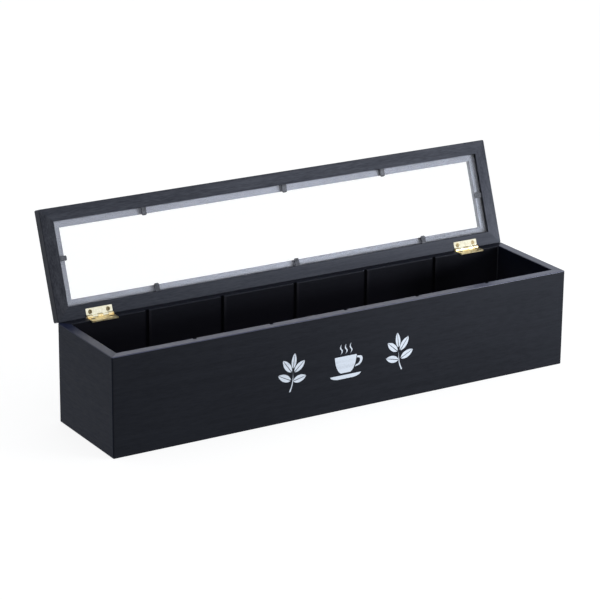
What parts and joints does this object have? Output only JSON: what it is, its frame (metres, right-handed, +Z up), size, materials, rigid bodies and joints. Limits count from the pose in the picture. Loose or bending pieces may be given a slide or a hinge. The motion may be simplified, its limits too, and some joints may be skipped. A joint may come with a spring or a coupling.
{
  "type": "tea bag organizer box",
  "caption": "Long black painted wooden tea bag box with compartments between lift-out dividers and a glazed, hinged lid, shown standing open on its brass butt hinges.",
  "frame": {"origin": "middle of the box's flat underside, with the outer faces of the box body centred on it", "axes": "+X along the box toward its right end, -Y out of the front face, away from the hinges, +Z up"},
  "size_m": [0.43, 0.1319, 0.1687],
  "materials": {
    "painted_board": "satin black paint",
    "painted_lid": "satin black paint",
    "base_board": "satin black paint",
    "divider_board": "satin black paint",
    "window_glass": "clear polished pane",
    "tab_metal": "black oxide",
    "hinge_brass": "pale rolled brass",
    "screw_brass": "dulled brass"
  },
  "bodies": {
    "box": {"front_panel": "painted_board", "back_panel": "painted_board", "left_end_panel": "painted_board", "right_end_panel": "painted_board", "base_panel": "base_board", "left_hinge_body_leaf": "hinge_brass", "right_hinge_body_leaf": "hinge_brass", "left_hinge_pin": "hinge_brass", "right_hinge_pin": "hinge_brass", "body_hinge_screws": "screw_brass"},
    "lid": {"lid_front_rail": "painted_lid", "lid_back_rail": "painted_lid", "lid_left_stile": "painted_lid", "lid_right_stile": "painted_lid", "lid_glass": "window_glass", "glazing_tabs": "tab_metal", "left_hinge_lid_leaf": "hinge_brass", "right_hinge_lid_leaf": "hinge_brass", "lid_hinge_screws": "screw_brass"},
    "divider_1_body": {"divider_1": "divider_board"},
    "divider_2_body": {"divider_2": "divider_board"},
    "divider_3_body": {"divider_3": "divider_board"},
    "divider_4_body": {"divider_4": "divider_board"},
    "divider_5_body": {"divider_5": "divider_board"}
  },
  "joints": [
    {"name": "lid_hinge", "type": "hinge", "parent": "box", "child": "lid", "pos_m": [0, 0.04585, 0.0838], "axis": [-1, 0, 0], "range_deg": [-110, 0]},
    {"name": "divider_1_lift", "type": "slide", "parent": "box", "child": "divider_1_body", "axis": [0, 0, 1], "range_m": [0, 0.07]},
    {"name": "divider_2_lift", "type": "slide", "parent": "box", "child": "divider_2_body", "axis": [0, 0, 1], "range_m": [0, 0.07]},
    {"name": "divider_3_lift", "type": "slide", "parent": "box", "child": "divider_3_body", "axis": [0, 0, 1], "range_m": [0, 0.07]},
    {"name": "divider_4_lift", "type": "slide", "parent": "box", "child": "divider_4_body", "axis": [0, 0, 1], "range_m": [0, 0.07]},
    {"name": "divider_5_lift", "type": "slide", "parent": "box", "child": "divider_5_body", "axis": [0, 0, 1], "range_m": [0, 0.07]}
  ]
}
